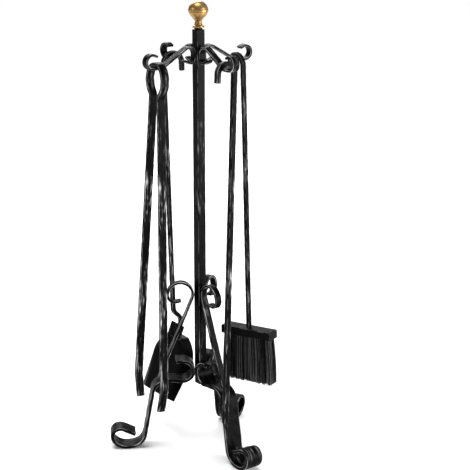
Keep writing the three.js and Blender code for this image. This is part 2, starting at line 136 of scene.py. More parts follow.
middle = Vector((post_x, post_y, 0.36))
right_place = middle + rightward * 2.2 - forward * 0.9 + Vector((0, 0, 0.1))
left_place = middle - rightward * 2.2 - forward * 0.9 + Vector((0, 0, 0.9))
back_place = middle + forward * 2.6 - rightward * 0.6 + Vector((0, 0, 1.5))
soft_panel("right_panel", right_place, width=0.8, height=1.6, watts=105)
soft_panel("left_panel", left_place, width=0.5, height=0.8, watts=14)
soft_panel("back_panel", back_place, width=1.6, height=0.8, watts=60)

overhead = bpy.data.lights.new("overhead", "SUN")
overhead.energy = 2.3
overhead.angle = math.radians(35)
overhead_lamp = bpy.data.objects.new("overhead", overhead)
overhead_lamp.rotation_euler = (rightward * 0.12 - Vector((0, 0, 1))).to_track_quat("-Z", "Y").to_euler()
scene.collection.objects.link(overhead_lamp)

room_light = 0.36
world = bpy.data.worlds.new("grey_room")
world.use_nodes = True
world.node_tree.nodes["Background"].inputs["Color"].default_value = (1, 1, 1, 1)
world.node_tree.nodes["Background"].inputs["Strength"].default_value = room_light
scene.world = world

# %% [markdown]
# The floor is one large white sheet that runs on past everything that this camera sees, so no horizon
# shows. It isn't part of the set.

# %% Floor
floor_reach = 16.0  # metres from the middle to each side


def new_finish(name):
    """A fresh material; gives the material, its node tree and its shader."""
    material = bpy.data.materials.new(name)
    material.use_nodes = True
    return material, material.node_tree, material.node_tree.nodes["Principled BSDF"]


floor_corners = [(-1, -1), (1, -1), (1, 1), (-1, 1)]
floor_mesh = bpy.data.meshes.new("floor")
floor_mesh.from_pydata([(x * floor_reach, y * floor_reach, 0) for x, y in floor_corners], [], [(0, 1, 2, 3)])
floor = bpy.data.objects.new("floor", floor_mesh)
scene.collection.objects.link(floor)
floor_paint, _, shader = new_finish("floor_paint")
shader.inputs["Base Color"].default_value = (0.93, 0.93, 0.93, 1)
shader.inputs["Roughness"].default_value = 0.9
shader.inputs["Specular IOR Level"].default_value = 0.1
floor.data.materials.append(floor_paint)

# %% [markdown]
# Node trees are built with a few small helpers. `add` makes a node and feeds its sockets: a value is set,
# and another node's socket is linked. `figure` and `vector` are the same for one step of arithmetic, and
# `ramp`, `noise` and `relief_from` for the three nodes that all the set's finishes are built on.

# %% Helpers for node trees


def add(tree, kind, inputs=None, **settings):
    """Makes a node in a tree; inputs holds values or sockets by name or by place."""
    made = tree.nodes.new(kind)
    for name, value in settings.items():
        setattr(made, name, value)
    for key, value in (inputs or {}).items():
        socket = made.inputs[key]
        if isinstance(value, bpy.types.NodeSocket):
            tree.links.new(value, socket)
        else:
            socket.default_value = value
    return made


def figure(tree, operation, *values, clamp=False):
    """One step of arithmetic on numbers or sockets; gives the socket with the result."""
    inputs = dict(enumerate(values))
    return add(tree, "ShaderNodeMath", inputs, operation=operation, use_clamp=clamp).outputs[0]


def vector(tree, operation, first, second):
    """One step of arithmetic on vectors; to scale one, the second value is a number."""
    inputs = {0: first, "Scale" if operation == "SCALE" else 1: second}
    return add(tree, "ShaderNodeVectorMath", inputs, operation=operation).outputs[0]


def noise(tree, place, scale, detail):
    """Cloudy values between 0 and 1; a larger scale makes smaller clouds."""
    inputs = {"Vector": place, "Scale": scale, "Detail": detail}
    return add(tree, "ShaderNodeTexNoise", inputs).outputs["Fac"]


def relief_from(tree, shader, height, strength, depth):
    """Lets the light fall as if the surface had a height; a height of 1 stands for the given depth."""
    inputs = {"Strength": strength, "Distance": depth, "Height": height}
    bump = add(tree, "ShaderNodeBump", inputs).outputs["Normal"]
    tree.links.new(bump, shader.inputs["Normal"])


def ramp(tree, value, stops):
    """A colour ramp over a value; stops are (place, grey or colour)."""
    made = add(tree, "ShaderNodeValToRGB", {"Fac": value})
    elements = made.color_ramp.elements
    for i, (place, colour) in enumerate(stops):
        element = elements[i] if i < 2 else elements.new(place)
        element.position = place
        shade = colour if isinstance(colour, tuple) else (colour,) * 3
        element.color = (*shade, 1)
    return made.outputs["Color"]


# %% [markdown]
# Blacksmith's black. The real bars are mild steel, hammered and then lacquered. The lacquer is almost
# black and half glossy; where hands and other bars rub it, on the corners, it thins to grey, and that grey
# on the corners is also a painted highlight along the edges. Grey patches in streaks along the bar are partly
# scuffed lacquer and partly a painted sheen. Three things vary over it: the colour, from black to that grey
# of wear, painted highlight and painted sheen; the roughness, in blotches along the bar; and the relief, in
# fine streaks that run with the bar. The pattern follows the bar because it reads the length and the section
# place that the bar's own node tree stores, and not the room's axes.

# %% Black iron


iron_edge = 1.3 * mm  # how far from a corner the lacquer has thinned, and how far the painted edge highlight reaches
iron_relief = 0.6 * mm


def stored_number(tree, name):
    """Reads a number that a mesh carries on its points."""
    return add(tree, "ShaderNodeAttribute", attribute_name=name).outputs["Fac"]


def bar_places(tree):
    """What iron and painted wood carry: the place along, the two places across, the way to an edge."""
    along = stored_number(tree, "along")
    section = add(tree, "ShaderNodeAttribute", attribute_name="section").outputs["Vector"]
    gap = stored_number(tree, "edge_gap")
    across = add(tree, "ShaderNodeSeparateXYZ", {0: section}).outputs
    return along, across[0], across[1], gap


def black_iron(name, relief_strength, edge_wear_and_highlight, scuff_and_sheen, seed):
    """Hammered black lacquer: relief, worn edges with painted highlight, scuffs with painted sheen, a seed.
    """
    material, tree, shader = new_finish(name)
    along, thick, wide, gap = bar_places(tree)
    place = add(tree, "ShaderNodeCombineXYZ", {0: along, 1: thick, 2: wide}).outputs[0]
    moved = add(tree, "ShaderNodeMapping", {"Vector": place, "Location": (seed, seed * 0.37, 0)}).outputs[0]

    def grain(scale, detail, stretch):
        drawn = add(tree, "ShaderNodeMapping", {"Vector": moved, "Scale": (1 / stretch, 1, 1)}).outputs[0]
        return noise(tree, drawn, scale, detail)

    blotches = grain(60.0, 3.0, 3.0)
    streaks = grain(420.0, 4.0, 8.0)
    speckle = grain(1300.0, 2.0, 1.0)
    # near the corners the grey is partly worn lacquer and partly a painted edge highlight
    worn = figure(tree, "SUBTRACT", 1, figure(tree, "DIVIDE", gap, iron_edge), clamp=True)
    worn_and_highlit_edges = figure(tree, "MULTIPLY", worn, ramp(tree, grain(240.0, 4.0, 4.0), [(0.34, 0.0), (0.54, 1.0)]))
    # grey patches in streaks along the bar: partly scuffed lacquer, partly a painted sheen
    patches = figure(tree, "MULTIPLY", ramp(tree, blotches, [(0.42, 0.0), (0.68, 1.0)]), scuff_and_sheen)
    scuffed_and_sheen_streaks = figure(tree, "MULTIPLY", patches, ramp(tree, streaks, [(0.4, 0.0), (0.7, 1.0)]))
    grey_wear_and_highlight = figure(tree, "ADD", figure(tree, "MULTIPLY", worn_and_highlit_edges, edge_wear_and_highlight), scuffed_and_sheen_streaks, clamp=True)
    # the grey end of these tones is worn lacquer, painted highlight and painted sheen in one
    tones = [(0.0, (0.0004, 0.0004, 0.0005)), (0.25, (0.004, 0.004, 0.0043))]
    tones += [(0.6, (0.1, 0.1, 0.101)), (1.0, (0.42, 0.42, 0.42))]
    colour = ramp(tree, grey_wear_and_highlight, tones)
    roughness = figure(tree, "ADD", 0.26, figure(tree, "MULTIPLY", blotches, 0.3))
    relief = figure(tree, "ADD", streaks, figure(tree, "MULTIPLY", speckle, 0.5))
    relief_from(tree, shader, relief, relief_strength, iron_relief)
    tree.links.new(colour, shader.inputs["Base Color"])
    tree.links.new(roughness, shader.inputs["Roughness"])
    shader.inputs["IOR"].default_value = 1.1  # a thin lacquer, which reflects little of the white floor
    return material


post_iron = black_iron("post_iron", 0.2, 0.8, 0.7, 1.3)
bar_iron = black_iron("bar_iron", 0.3, 1.1, 0.8, 4.1)
leg_iron = black_iron("leg_iron", 0.4, 1.1, 0.8, 7.7)
tool_iron = black_iron("tool_iron", 0.4, 1.0, 1.1, 9.2)
sheet_iron = black_iron("sheet_iron", 0.3, 0.6, 0.12, 2.6)

# %% [markdown]
# Every bar of the set was bent from straight stock, so its middle line and its section say all about it.
# The plain model holds them: a bent bar has two flat sides, each outlined by corners that pair up across
# its thickness. The middles of those pairs are the bar's own line. Reading it back keeps the forged bar
# exactly where the plain one is.

# %% Read a bent bar's middle line


def merged_copy(node):
    """A node's mesh with its doubled corners joined."""
    copy = bmesh.new()
    copy.from_mesh(nodes[node].data)
    bmesh.ops.remove_doubles(copy, verts=copy.verts, dist=0.01 * mm)
    return copy


def main_axes(copy):
    """The three directions that most of a solid's faces look along, smallest share first."""
    normals = np.array([face.normal[:] for face in copy.faces])
    areas = np.array([face.calc_area() for face in copy.faces])
    return np.linalg.eigh(np.einsum("i,ij,ik->jk", areas, normals, normals))[1].T


def flat_share(points, axis):
    """How much of a solid's corners lie in its two end planes along an axis."""
    reach = points @ axis
    ends = np.minimum(reach - reach.min(), reach.max() - reach) < 0.02 * mm
    return ends.mean()


def side_outline(copy, axis, top):
    """The corners round a solid's flat side, in order."""

    def on_side(face):
        return face.normal.dot(axis) > 0.999 and abs(face.calc_center_median().dot(axis) - top) < 0.1 * mm

    flat = {face for face in copy.faces if on_side(face)}
    rim = [e for e in copy.edges if sum(f in flat for f in e.link_faces) == 1]
    after = {}
    for edge in rim:
        a, b = edge.verts
        after.setdefault(a, []).append(b)
        after.setdefault(b, []).append(a)
    loop = [rim[0].verts[0], rim[0].verts[1]]
    while len(loop) < len(rim):
        here, before = loop[-1], loop[-2]
        loop.append(next(v for v in after[here] if v is not before))
    return np.array([v.co[:] for v in loop])


def bar_line(node):
    """A bent bar's middle line, its two section sizes, and the direction of its width."""
    copy = merged_copy(node)
    points = np.array([v.co[:] for v in copy.verts])
    across = max(main_axes(copy), key=lambda axis: flat_share(points, axis))
    reach = points @ across
    width = float(np.ptp(reach))
    loop = side_outline(copy, Vector(across), reach.max())
    copy.free()
    count = len(loop) // 2

    def pairs(start):
        ahead = loop[[(start + i) % len(loop) for i in range(count)]]
        behind = loop[[(start - 1 - i) % len(loop) for i in range(count)]]
        return ahead, behind

    def unevenness(start):
        ahead, behind = pairs(start)
        return np.ptp(np.linalg.norm(ahead - behind, axis=1))

    ahead, behind = pairs(min(range(count), key=unevenness))
    thickness = float(np.linalg.norm(ahead - behind, axis=1).mean())
    line = (ahead + behind) / 2 - across * width / 2
    return {"line": line, "width": width, "thickness": thickness, "across": across}


def even_steps(line, longest):
    """The same line with its long straight stretches cut into short ones."""
    cut = [line[0]]
    for a, b in zip(line, line[1:]):
        steps = max(1, math.ceil(np.linalg.norm(b - a) / longest))
        cut += [a + (b - a) * i / steps for i in range(1, steps + 1)]
    return np.array(cut)


bent_nodes = [name for name in nodes if name.split("_")[0] in ("arm", "leg", "brace", "poker", "tongs")]
bent_nodes += ["shovel_shaft", "brush_shaft"]
bars = {name: bar_line(name) for name in bent_nodes}
for name, bar in bars.items():
    section = [round(bar[size] / mm, 2) for size in ("width", "thickness")]
    print(name, len(bar["line"]), "points, section", section, "mm")

# %% [markdown]
# The forged bar itself is a Geometry Nodes tree, because its shape follows a rule: one section swept along
# one line. The line is smoothed, the section is a rectangle with rounded corners, the ends are drawn in a
# little as a hammer leaves them, and the skin is dented: broad shallow hammer marks and a slow wander of
# the whole bar. The tree also stores where each point lies along and across the bar, for the material.

# %% The forged bar's node tree


def geometry_tree(name, sockets):
    """An empty Geometry Nodes tree with its inputs; gives the tree and its inputs by name."""
    tree = bpy.data.node_groups.new(name, "GeometryNodeTree")
    tree.interface.new_socket("Geometry", in_out="INPUT", socket_type="NodeSocketGeometry")
    for label, kind in sockets.items():
        tree.interface.new_socket(label, in_out="INPUT", socket_type="NodeSocket" + kind)
    tree.interface.new_socket("Geometry", in_out="OUTPUT", socket_type="NodeSocketGeometry")
    return tree, add(tree, "NodeGroupInput").outputs


def store(tree, geometry, name, value, kind="FLOAT"):
    """Writes a value on every point under a name."""
    inputs = {"Geometry": geometry, "Name": name, "Value": value}
    return add(tree, "GeometryNodeStoreNamedAttribute", inputs, data_type=kind, domain="POINT").outputs[0]


def finish_tree(tree, geometry, material):
    """The last steps of every tree: real meshes and one finish."""
    real = add(tree, "GeometryNodeRealizeInstances", {"Geometry": geometry}).outputs["Geometry"]
    painted = add(tree, "GeometryNodeSetMaterial", {"Geometry": real, "Material": material}).outputs[0]
    add(tree, "NodeGroupOutput", {"Geometry": painted})
    return tree


def forged_bar_tree():
    """The tree that sweeps one rounded section along one line and dents its skin."""
    sizes = ("Width", "Thickness", "Corner", "Path step", "Section step", "Dent depth", "Dent size", "Wander")
    ends = ("Start size", "End size", "Tip length")
    sockets = {name: "Float" for name in sizes + ends + ("Seed",)}
    tree, given = geometry_tree("forged_bar", {**sockets, "Finish": "Material"})

    path = add(tree, "GeometryNodeMeshToCurve", {"Mesh": given["Geometry"]}).outputs["Curve"]
    path = add(tree, "GeometryNodeCurveSplineType", {"Curve": path}, spline_type="CATMULL_ROM").outputs[0]
    steps = {"Curve": path, "Length": given["Path step"]}
    path = add(tree, "GeometryNodeResampleCurve", steps, mode="LENGTH").outputs["Curve"]
    path = add(tree, "GeometryNodeSetCurveNormal", {"Curve": path}, mode="Z_UP").outputs["Curve"]
    walked = add(tree, "GeometryNodeSplineParameter").outputs["Length"]
    whole = add(tree, "GeometryNodeSplineLength").outputs["Length"]
    path = store(tree, path, "along", walked)

    def drawn_in(distance, size):
        inputs = {"Value": distance, "From Max": given["Tip length"], "To Min": size, "To Max": 1.0}
        return add(tree, "ShaderNodeMapRange", inputs, interpolation_type="SMOOTHSTEP").outputs["Result"]

    from_end = figure(tree, "SUBTRACT", whole, walked)
    start_share = drawn_in(walked, given["Start size"])
    end_share = drawn_in(from_end, given["End size"])
    radius = figure(tree, "MULTIPLY", start_share, end_share)
    path = add(tree, "GeometryNodeSetCurveRadius", {"Curve": path, "Radius": radius}).outputs["Curve"]

    inputs = {"Width": given["Thickness"], "Height": given["Width"]}
    section = add(tree, "GeometryNodeCurvePrimitiveQuadrilateral", inputs).outputs["Curve"]
    rounding = {"Curve": section, "Radius": given["Corner"], "Count": 4}
    section = add(tree, "GeometryNodeFilletCurve", rounding, mode="POLY").outputs["Curve"]
    steps = {"Curve": section, "Length": given["Section step"]}
    section = add(tree, "GeometryNodeResampleCurve", steps, mode="LENGTH").outputs["Curve"]
    position = add(tree, "GeometryNodeInputPosition").outputs["Position"]
    sides = add(tree, "ShaderNodeSeparateXYZ", {0: position})

    def from_face(side, size):
        return figure(tree, "SUBTRACT", figure(tree, "DIVIDE", size, 2), figure(tree, "ABSOLUTE", side))

    thick_gap = from_face(sides.outputs[0], given["Thickness"])
    wide_gap = from_face(sides.outputs[1], given["Width"])
    section = store(tree, section, "edge_gap", figure(tree, "MAXIMUM", thick_gap, wide_gap))
    section = store(tree, section, "section", position, "FLOAT_VECTOR")

    sweep = {"Curve": path, "Profile Curve": section, "Fill Caps": True}
    skin = add(tree, "GeometryNodeCurveToMesh", sweep).outputs["Mesh"]

    shifted = vector(tree, "ADD", position, given["Seed"])
    pitch = figure(tree, "DIVIDE", 1, given["Dent size"])
    hammer = {"Vector": shifted, "Scale": pitch, "Smoothness": 0.35}
    marks = add(tree, "ShaderNodeTexVoronoi", hammer, feature="SMOOTH_F1").outputs["Distance"]
    dent = figure(tree, "MULTIPLY", figure(tree, "SUBTRACT", marks, 0.45), given["Dent depth"])
    normal = add(tree, "GeometryNodeInputNormal").outputs["Normal"]
    dented = vector(tree, "SCALE", normal, dent)
    skin = add(tree, "GeometryNodeSetPosition", {"Geometry": skin, "Offset": dented}).outputs["Geometry"]
    slow = add(tree, "ShaderNodeTexNoise", {"Vector": shifted, "Scale": 9.0, "Detail": 0.0}).outputs["Color"]
    centred = vector(tree, "SUBTRACT", slow, (0.5, 0.5, 0.5))
    sway = vector(tree, "SCALE", centred, given["Wander"])
    skin = add(tree, "GeometryNodeSetPosition", {"Geometry": skin, "Offset": sway}).outputs["Geometry"]

    corners = add(tree, "GeometryNodeInputMeshFaceNeighbors").outputs["Vertex Count"]
    fewer = {"data_type": "INT", "operation": "LESS_THAN"}
    is_skin = add(tree, "FunctionNodeCompare", {2: corners, 3: 5}, **fewer).outputs[0]
    smooth = {"Geometry": skin, "Shade Smooth": is_skin}
    skin = add(tree, "GeometryNodeSetShadeSmooth", smooth).outputs["Geometry"]
    return finish_tree(tree, skin, given["Finish"])


bar_tree = forged_bar_tree()
print("forged bar tree:", len(bar_tree.nodes), "nodes")

# %% [markdown]
# A tree does its work as a modifier. Its inputs are set by each socket's identifier before the object is
# evaluated, and the result is taken off as a plain mesh, so that the finished piece carries no modifier.

# %% Run a tree and keep its mesh


def run_tree(tree, host, values):
    """Runs a tree on a host object, takes the result off as a mesh and throws the host away."""
    modifier = host.modifiers.new(tree.name, "NODES")
    modifier.node_group = tree
    for item in tree.interface.items_tree:
        if item.item_type == "SOCKET" and item.in_out == "INPUT" and item.name in values:
            modifier[item.identifier] = values[item.name]
    graph = bpy.context.evaluated_depsgraph_get()
    done = host.evaluated_get(graph)
    mesh = bpy.data.meshes.new_from_object(done, preserve_all_data_layers=True, depsgraph=graph)
    host.modifiers.clear()
    bpy.data.objects.remove(host)
    return mesh


def host_of(name, points, edges=(), faces=()):
    """An object that holds bare points, edges or faces for a tree to work on."""
    mesh = bpy.data.meshes.new(name)
    mesh.from_pydata([tuple(p) for p in points], list(edges), list(faces))
    host = bpy.data.objects.new(name, mesh)
    scene.collection.objects.link(host)
    return host


def volume(mesh):
    """The space inside a mesh; it comes out negative if the mesh is inside out."""
    copy = bmesh.new()
    copy.from_mesh(mesh)
    size = copy.calc_volume(signed=True)
    copy.free()
    return size


def kept_inside(mesh):
    """Flattens whatever a dent pushes out of the plain model's box, such as the soles of the feet."""
    points = np.array([v.co[:] for v in mesh.vertices])
    mesh.vertices.foreach_set("co", np.clip(points, plain_box[0], plain_box[1]).ravel())


def place_piece(name, mesh, slot, body, *stands_for):
    """Names a finished mesh, turns it right side out and lets it ride on its body."""
    kept_inside(mesh)
    if volume(mesh) < 0:
        mesh.flip_normals()
    mesh.name = name
    piece = bpy.data.objects.new(name, mesh)
    scene.collection.objects.link(piece)
    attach(piece, body)
    if stands_for:
        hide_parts(*stands_for)
    print(name, len(mesh.polygons), "faces")
    return piece


def bar_mesh(name, line, bar, **values):
    """Sweeps the forged bar along a line that lies in one plane."""
    middle_point = line.mean(axis=0)
    flat = line - middle_point
    across = bar["across"]
    first = flat[0] - flat[-1]
    first = first / np.linalg.norm(first)
    second = np.cross(across, first)
    place = np.column_stack([flat @ first, flat @ second, np.zeros(len(flat))])
    host = host_of(name + "_line", place, [(i, i + 1) for i in range(len(place) - 1)])
    sizes = {"Width": bar["width"], "Thickness": bar["thickness"]}
    mesh = run_tree(bar_tree, host, {**sizes, **values})
    turn = Matrix((*zip(first, second, across, middle_point), (0, 0, 0, 1)))
    mesh.transform(turn)
    return mesh


# %% [markdown]
# The stand's bars. Arms and braces are narrow strip, the legs are wide strip that shows the hammer most.
# The line is cut into even steps first, because a smooth curve through uneven points would bulge.

# %% Arms, braces and legs
path_step = 2 * mm
section_step = 0.8 * mm
line_step = 4 * mm


def bar_shape(corner, dent_depth, dent_size, wander, start_size=0.86, end_size=0.86, tip_length=3):
    """The forged bar's inputs: lengths in millimetres, and the ends as shares of the full section."""
    lengths = {"Corner": corner, "Dent depth": dent_depth, "Dent size": dent_size, "Wander": wander}
    shape = {label: length * mm for label, length in lengths.items()}
    ends = {"Start size": start_size, "End size": end_size, "Tip length": tip_length * mm}
    return {**shape, **ends, "Path step": path_step, "Section step": section_step}


strip = bar_shape(corner=0.7, dent_depth=0.5, dent_size=9, wander=0.5)
wide_strip = bar_shape(corner=0.9, dent_depth=0.9, dent_size=12, wander=0.6)
seeds = random.Random(11)

for name in sorted(bars):
    kind = name.split("_")[0]
    if kind not in ("arm", "leg", "brace"):
        continue
    shape, finish = (wide_strip, leg_iron) if kind == "leg" else (strip, bar_iron)
    line = even_steps(bars[name]["line"], line_step)
    mesh = bar_mesh(name, line, bars[name], **shape, Seed=seeds.uniform(0, 5), Finish=finish)
    place_piece("forged_" + name, mesh, "black_iron", "stand", name)

# %% [markdown]
# Poker, shovel and brush hang by square bar with softened corners. Their ends are blunt, and the hammer
# has left small flats all the way down.

# %% Square shafts
square_bar = bar_shape(corner=1.2, dent_depth=0.5, dent_size=7, wander=0.7)
for name in ("poker", "shovel_shaft", "brush_shaft"):
    line = even_steps(bars[name]["line"], line_step)
    mesh = bar_mesh(name, line, bars[name], **square_bar, Seed=seeds.uniform(0, 5), Finish=tool_iron)
    place_piece("forged_" + name, mesh, "black_iron", body_of[name], name)

# %% [markdown]
# The tongs are one flat bar bent like a hairpin: a round bow, a narrow neck and two long legs. The bow is
# the spring. Each half is made in one length from the crown to the tip; the real bar bends softly at the
# neck when the tongs are squeezed.

# %% Tongs
tong_bar = bar_shape(corner=0.8, dent_depth=0.6, dent_size=10, wander=0.6, start_size=1.0, end_size=0.9)
tong_seed = 2.4  # both halves take the same one
bow = bars["tongs_bow"]

for side in ("near", "far"):
    leg_node = f"tongs_{side}_leg"
    leg_line = bars[leg_node]["line"]
    if leg_line[0][2] < leg_line[-1][2]:
        leg_line = leg_line[::-1]
    bow_line = bow["line"]
    if np.linalg.norm(bow_line[-1] - leg_line[0]) > np.linalg.norm(bow_line[0] - leg_line[0]):
        bow_line = bow_line[::-1]
    crown = len(bow_line) // 2
    half = bow_line[crown:]
    if len(bow_line) % 2 == 0:
        half = np.vstack([(half[0] + bow_line[crown - 1]) / 2, half])
    neck = (half[-1] + leg_line[0]) / 2
    line = even_steps(np.vstack([half[:-1], [neck], leg_line[1:]]), line_step)
    mesh = bar_mesh(leg_node, line, bow, **tong_bar, Seed=tong_seed, Finish=tool_iron)
    if volume(mesh) < 0:
        mesh.flip_normals()
    mesh.name = f"tongs_{side}_half"
    piece = bpy.data.objects.new(mesh.name, mesh)
    scene.collection.objects.link(piece)
    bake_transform(piece)
    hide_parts(leg_node, *(["tongs_bow"] if side == "near" else []))
    print(piece.name, len(mesh.polygons), "faces")

# %% [markdown]
# The post is square stock as well, straight from the weld up to the collar. Its corners are only just
# broken, and at the top it tapers to the collar, where the smith dressed the end.

# %% Post
post_middle = (post_low + post_high) / 2
post_line = even_steps(np.array([[*post_middle.xy, post_low.z], [*post_middle.xy, post_high.z]]), line_step)
post_bar = {"width": post_high.x - post_low.x, "thickness": post_high.y - post_low.y}
post_bar["across"] = np.array([1.0, 0, 0])
post_ends = {"start_size": 0.93, "end_size": 0.62, "tip_length": 3.2}
post_shape = bar_shape(corner=0.9, dent_depth=0.25, dent_size=16, wander=0.3, **post_ends)
mesh = bar_mesh("post", post_line, post_bar, **post_shape, Seed=1.7, Finish=post_iron)
place_piece("forged_post", mesh, "black_iron", "stand", "post")

# %% [markdown]
# The knob is turned brass, polished and lacquered. A narrow belt runs round its widest place, the lower
# half runs in almost straight to a thin neck, and the neck opens into a small disc that rests on a black
# collar. A turned part is one outline swung round its axis, so the outline is all that has to be written.

# %% Helpers for turned parts


def set_values(mesh, name, values, kind="FLOAT"):
    """Writes one value, or one vector, on every corner point of a mesh."""
    layer = mesh.attributes.new(name, kind, "POINT")
    field = "value" if kind == "FLOAT" else "vector"
    layer.data.foreach_set(field, np.asarray(values, dtype=np.float32).ravel())


def mark_places(mesh, edge_gap):
    """Gives a mesh the same three values that the forged bars carry, from its own positions."""
    points = np.array([v.co[:] for v in mesh.vertices])
    set_values(mesh, "along", points[:, 2])
    set_values(mesh, "section", np.column_stack([points[:, :2], np.zeros(len(points))]), "FLOAT_VECTOR")
    set_values(mesh, "edge_gap", np.full(len(points), edge_gap) if np.isscalar(edge_gap) else edge_gap)


def turned_mesh(name, outline, count, material, smooth=40):
    """Swings an outline of (radius, height) pairs round Z; both its ends lie on the axis."""
    rings = outline[1:-1]
    points = [(0, 0, outline[0][1])]
    for radius, height in rings:
        for i in range(count):
            angle = 2 * math.pi * i / count
            points.append((radius * math.cos(angle), radius * math.sin(angle), height))
    points.append((0, 0, outline[-1][1]))
    faces = []
    for i in range(count):
        after = (i + 1) % count
        faces.append((0, 1 + after, 1 + i))
        for ring in range(len(rings) - 1):
            low, high = 1 + ring * count, 1 + (ring + 1) * count
            faces.append((low + i, low + after, high + after, high + i))
        last = 1 + (len(rings) - 1) * count
        faces.append((last + i, last + after, len(points) - 1))
    mesh = bpy.data.meshes.new(name)
    mesh.from_pydata(points, [], faces)
    mesh.materials.append(material)
    mesh.shade_smooth()
    mesh.set_sharp_from_angle(angle=math.radians(smooth))
    return mesh


def arc(middle, radius, start, end, count, flat=1.0):
    """Points on an arc in the outline's plane, from one angle to another, in degrees."""
    angles = [math.radians(start + (end - start) * i / count) for i in range(count + 1)]
    return [(middle[0] + radius * math.cos(a), middle[1] + flat * radius * math.sin(a)) for a in angles]


# %% [markdown]
# Brass is yellow because of the metal itself, so its colour sits on the reflection and not under it. The
# tone wanders a little, the lathe has left hair-fine rings that stretch each highlight, and the colour is
# darker, browner and rougher in the grooves beside the belt and round the neck.

# %% Brass


def brass_finish(axis_x, axis_y):
    """Lacquered brass, turned about an upright axis at the given place."""
    material, tree, shader = new_finish("brass")
    place = add(tree, "ShaderNodeTexCoord").outputs["Object"]
    groove_and_neck_dark = stored_number(tree, "groove_and_neck_dark")
    cloud = noise(tree, place, 70.0, 3.0)
    centred = add(tree, "ShaderNodeMapping", {"Vector": place, "Location": (-axis_x, -axis_y, 0)}).outputs[0]
    lathe = add(tree, "ShaderNodeMapping", {"Vector": centred, "Scale": (0.05, 0.05, 1)}).outputs[0]
    rings = noise(tree, lathe, 2600.0, 2.0)
    warm = ramp(tree, cloud, [(0.35, (0.30, 0.17, 0.06)), (0.65, (0.43, 0.285, 0.115))])
    mixed = {"Factor": groove_and_neck_dark, 6: warm, 7: (0.13, 0.055, 0.014, 1)}
    tone = add(tree, "ShaderNodeMix", mixed, data_type="RGBA")
    tree.links.new(tone.outputs[2], shader.inputs["Base Color"])
    rough = figure(tree, "ADD", figure(tree, "MULTIPLY", cloud, 0.16), figure(tree, "MULTIPLY", groove_and_neck_dark, 0.25))
    tree.links.new(figure(tree, "ADD", rough, 0.3), shader.inputs["Roughness"])
    relief_from(tree, shader, rings, 0.08, 0.2 * mm)
    shader.inputs["Metallic"].default_value = 1
    return material


brass = brass_finish(post_x, post_y)

# %% [markdown]
# The outline of the knob, from the foot of the disc to the crown. The ball is a little flatter than a
# sphere; the belt stands half a millimetre proud and has a groove at either side.

# %% Brass knob
knob_low, knob_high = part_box("finial")
ball_radius = (knob_high.x - knob_low.x) / 2
ball_flat = 0.92
ball_middle = knob_high.z - ball_flat * ball_radius
disc_radius = 10 * mm
disc_height = 3 * mm
neck_radius = 5.2 * mm
neck_height = 9.5 * mm
belt = 1.5 * mm

foot = knob_low.z
rim = 0.8 * mm
skin_radius = ball_radius - 0.45 * mm
outline = [(0, foot), (disc_radius - rim, foot)]
outline += arc((disc_radius - rim, foot + rim), rim, -90, 90, 8)
outline += [(disc_radius - 1.7 * mm, foot + 1.75 * mm)]
outline += arc((disc_radius - 1.9 * mm, foot + disc_height - 0.5 * mm), 0.5 * mm, -70, 90, 6)
cove = disc_radius - 2.4 * mm - neck_radius
cove_flat = (neck_height - disc_height) / cove
outline += arc((neck_radius + cove, foot + neck_height), cove, 250, 185, 8, cove_flat)
ball_start = -52  # degrees round the ball from its widest place, where the cone below meets it
start = math.radians(ball_start)
cone_top = (skin_radius * math.cos(start), ball_middle + ball_flat * skin_radius * math.sin(start))
cone_width, cone_rise = cone_top[0] - neck_radius, cone_top[1] - foot - neck_height
outline += [(neck_radius + cone_width * t, foot + neck_height + cone_rise * t) for t in (0.0, 0.35, 0.7)]
edge = math.degrees(math.asin(belt / ball_radius))
outline += arc((0, ball_middle), skin_radius, ball_start, -edge - 2, 14, ball_flat)
outline += [(ball_radius, ball_middle + belt * t) for t in (-0.62, 0, 0.62)]
outline += arc((0, ball_middle), skin_radius, edge + 2, 89, 26, ball_flat)
outline += [(0, knob_high.z)]
mesh = turned_mesh("brass_knob", outline, 96, brass, 28)
points = np.array([v.co[:] for v in mesh.vertices])
# darker, browner and rougher in the grooves beside the belt and round the neck
near_belt = np.exp(-(((np.abs(points[:, 2] - ball_middle) - belt * 1.15) / (0.7 * mm)) ** 2))
near_neck = np.exp(-(((points[:, 2] - foot - neck_height * 0.75) / (2.6 * mm)) ** 2)) * 0.7
set_values(mesh, "groove_and_neck_dark", np.clip(near_belt * 0.75 + near_neck, 0, 1))
mesh.transform(Matrix.Translation((post_x, post_y, 0)))
place_piece("brass_knob", mesh, "brass", "stand", "finial")
print("knob", round(2 * ball_radius / mm, 1), "mm across,", round((knob_high.z - foot) / mm, 1), "mm high")

# %% [markdown]
# Under the knob sits the collar, a black ring on the threaded stud that joins knob and post. Only the ring
# shows, and its edge is rounded like that of a washer.

# %% Collar
stud_low, stud_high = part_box("finial_stud")
collar_radius = (stud_high.x - stud_low.x) / 2
collar_round = 0.7 * mm
low, high = post_high.z, foot
outline = [(0, low)] + arc((collar_radius - collar_round, low + collar_round), collar_round, -90, 0, 5)
outline += arc((collar_radius - collar_round, high - collar_round), collar_round, 0, 90, 5) + [(0, high)]
mesh = turned_mesh("collar", outline, 64, post_iron, 60)
mark_places(mesh, 1 * mm)
mesh.transform(Matrix.Translation((post_x, post_y, 0)))
place_piece("collar", mesh, "black_iron", "stand", "finial_stud")

# %% [markdown]
# The pan is one piece of sheet: a flat floor, wings flared out at both sides and behind, and a tab that
# the shaft is riveted to. Folded sheet never has a knife-sharp crease, so the skin here is a net of points
# whose height climbs softly where a wing begins. The two rivets give the pan's own axes: the line through
# both runs up the pan.

# %% Where the pan lies


def middle_of(node):
    low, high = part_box(node)
    return (low + high) / 2


